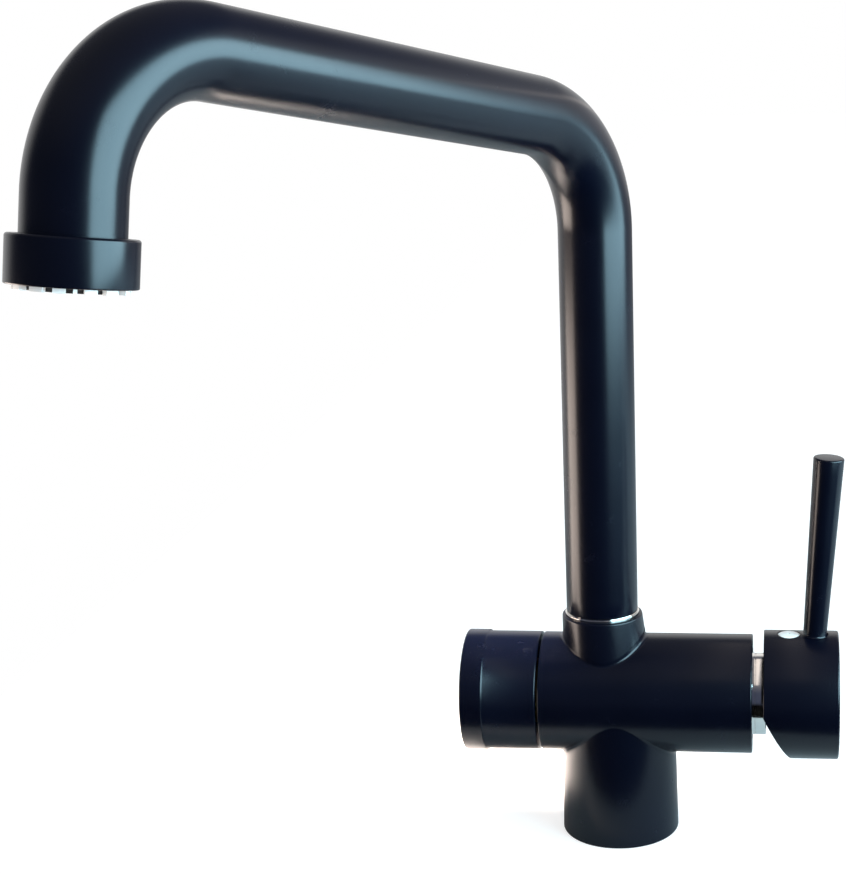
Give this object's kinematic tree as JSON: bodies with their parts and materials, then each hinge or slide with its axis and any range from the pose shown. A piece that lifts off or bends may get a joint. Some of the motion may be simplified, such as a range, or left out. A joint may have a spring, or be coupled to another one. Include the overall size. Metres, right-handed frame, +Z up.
{
  "type": "three way filtered water tap",
  "caption": "Deck-mounted kitchen tap in satin black with a swivel spout, a side lever for mixed hot and cold water, and a round side knob for filtered water.",
  "frame": {"origin": "centre of the foot's flat underside, where the tap rests on the deck", "axes": "+Z up along the foot and the neck; +X along the body towards the mixer handle, with the filter knob at -X; -Y is the front, which the spout points to, turned to the left"},
  "size_m": [0.2465, 0.2729, 0.3498],
  "materials": {
    "black_paint": "satin black",
    "chrome": "polished",
    "brass": "machined",
    "steel": "plain",
    "ceramic": "lapped",
    "rubber": "matt",
    "white_plastic": "satin white",
    "grey_plastic": "satin grey",
    "black_plastic": "moulded black"
  },
  "bodies": {
    "tap_body": {"mixer_body": "black_paint", "base_o_ring": "rubber", "cartridge_seal": "rubber", "cartridge_base": "white_plastic", "cartridge_housing": "white_plastic", "mixer_fixed_disc": "ceramic", "cartridge_nut": "chrome", "filter_valve_washer": "rubber", "filter_valve_body": "brass", "filter_valve_seat": "rubber", "filter_fixed_disc": "ceramic", "spout_glide_ring": "chrome", "spout_set_screw": "steel", "filter_spigot": "brass"},
    "spout": {"spout_tube": "black_paint", "spout_shank": "brass", "shank_upper_o_ring": "rubber", "shank_lower_o_ring": "rubber", "filtered_water_tube": "white_plastic", "filtered_tube_o_ring": "rubber", "outlet_collar": "black_paint", "aerator_seal": "rubber", "aerator_housing": "chrome", "aerator_plate": "black_plastic", "filtered_nozzle": "white_plastic"},
    "temperature_carrier": {"stem_carrier": "grey_plastic", "pivot_pin": "steel"},
    "mixer_handle": {"handle_shell": "black_paint", "lever_rod": "black_paint", "cartridge_stem": "brass", "handle_set_screw": "steel", "indicator_plug": "white_plastic"},
    "mixing_disc": {"disc_driver": "grey_plastic", "mixer_moving_disc": "ceramic"},
    "filter_control": {"filter_knob": "black_paint", "knob_end_cap": "black_paint", "knob_screw": "steel", "filter_spindle": "brass", "filter_moving_disc": "ceramic", "spindle_o_ring": "rubber", "spindle_clip": "steel"}
  },
  "joints": [
    {"name": "spout_swivel", "type": "hinge", "parent": "tap_body", "child": "spout", "pos_m": [-0.0065, 0, 0.0983], "axis": [0, 0, 1], "continuous": true},
    {"name": "temperature_turn", "type": "hinge", "parent": "tap_body", "child": "temperature_carrier", "pos_m": [0.0467, 0, 0.0614], "axis": [1, 0, 0], "range_deg": [-50, 50]},
    {"name": "flow_lever_tilt", "type": "hinge", "parent": "temperature_carrier", "child": "mixer_handle", "pos_m": [0.0467, 0, 0.0614], "axis": [0, 1, 0], "range_deg": [0, 25]},
    {"name": "mixing_disc_slide", "type": "slide", "parent": "temperature_carrier", "child": "mixing_disc", "axis": [0, 0, 1], "range_m": [0, 0.0037]},
    {"name": "filter_knob_turn", "type": "hinge", "parent": "tap_body", "child": "filter_control", "pos_m": [-0.05, 0, 0.0614], "axis": [-1, 0, 0], "range_deg": [0, 90]}
  ],
  "couplings": [
    {"joint": "mixing_disc_slide", "follows": "flow_lever_tilt", "m_per_rad": 0.008}
  ]
}
